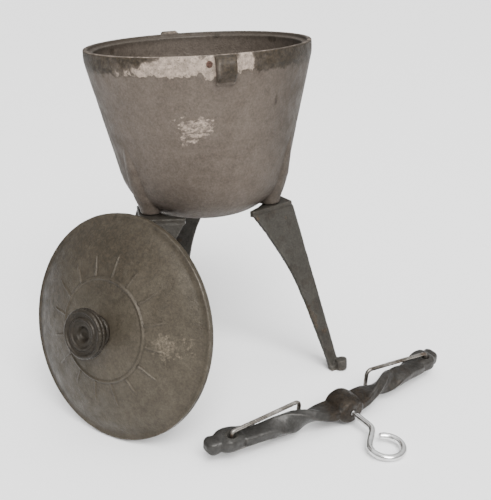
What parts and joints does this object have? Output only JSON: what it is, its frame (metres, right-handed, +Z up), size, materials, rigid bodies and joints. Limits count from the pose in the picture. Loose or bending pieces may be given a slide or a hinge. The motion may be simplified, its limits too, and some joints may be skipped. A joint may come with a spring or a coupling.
{
  "type": "footed cast-iron pot with clamp-down lid",
  "caption": "Tapered cast-iron pot on bolted-on legs, its domed lid with knob standing beside it and a loose twisted clamp bar with wire bails and an eye screw.",
  "frame": {"origin": "middle of the bottom of the whole group's box, on the floor the feet stand on", "axes": "+Z up, +Y away from the viewer who sees the lid at the left and the clamp in front, +X to that viewer's right"},
  "size_m": [0.3556, 0.3368, 0.3045],
  "materials": {
    "pot_iron": "rough grey-brown cast skin, rim band ground bright and stained",
    "leg_iron": "rough grey cast skin with worn edges",
    "lid_iron": "worn satin cast iron with a rust patch and a bright worn edge",
    "knob_iron": "dark handled cast iron, pitted",
    "screw_steel": "dull, oxidised",
    "bar_iron": "satin grey with brown rust at the boss",
    "bail_wire": "bare steel wire, dulled",
    "plated_wire": "zinc-plated, slightly dulled"
  },
  "bodies": {
    "pot": {"pot_body": "pot_iron", "leg_right": "leg_iron", "leg_left": "leg_iron", "leg_back": "leg_iron", "leg_screw_right": "screw_steel", "leg_screw_left": "screw_steel", "leg_screw_back": "screw_steel"},
    "lid": {"lid": "lid_iron", "lid_knob": "knob_iron", "knob_nut": "screw_steel"},
    "clamp_bar": {"clamp_bar": "bar_iron"},
    "bail_left": {"bail_left": "bail_wire"},
    "bail_right": {"bail_right": "bail_wire"},
    "eye_screw": {"eye_screw": "plated_wire"}
  },
  "joints": [
    {"name": "lid_lift", "type": "slide", "parent": "pot", "child": "lid", "axis": [0, 0, 1], "range_m": [0, 0.25]},
    {"name": "clamp_lift", "type": "slide", "parent": "pot", "child": "clamp_bar", "axis": [0.3497, -0.3497, 0.8691], "range_m": [0, 0.3]},
    {"name": "bail_left_swing", "type": "hinge", "parent": "clamp_bar", "child": "bail_left", "pos_m": [-0.01738, -0.14762, 0.01638], "axis": [0.0861, -0.1367, 0.9869], "range_deg": [0, 115]},
    {"name": "bail_right_swing", "type": "hinge", "parent": "clamp_bar", "child": "bail_right", "pos_m": [0.16286, -0.03412, 0.01638], "axis": [-0.0861, 0.1367, -0.9869], "range_deg": [0, 115]},
    {"name": "eye_turn", "type": "hinge", "parent": "clamp_bar", "child": "eye_screw", "pos_m": [0.07853, -0.10005, 0.0146], "axis": [0.5259, -0.8351, -0.1616], "continuous": true}
  ]
}
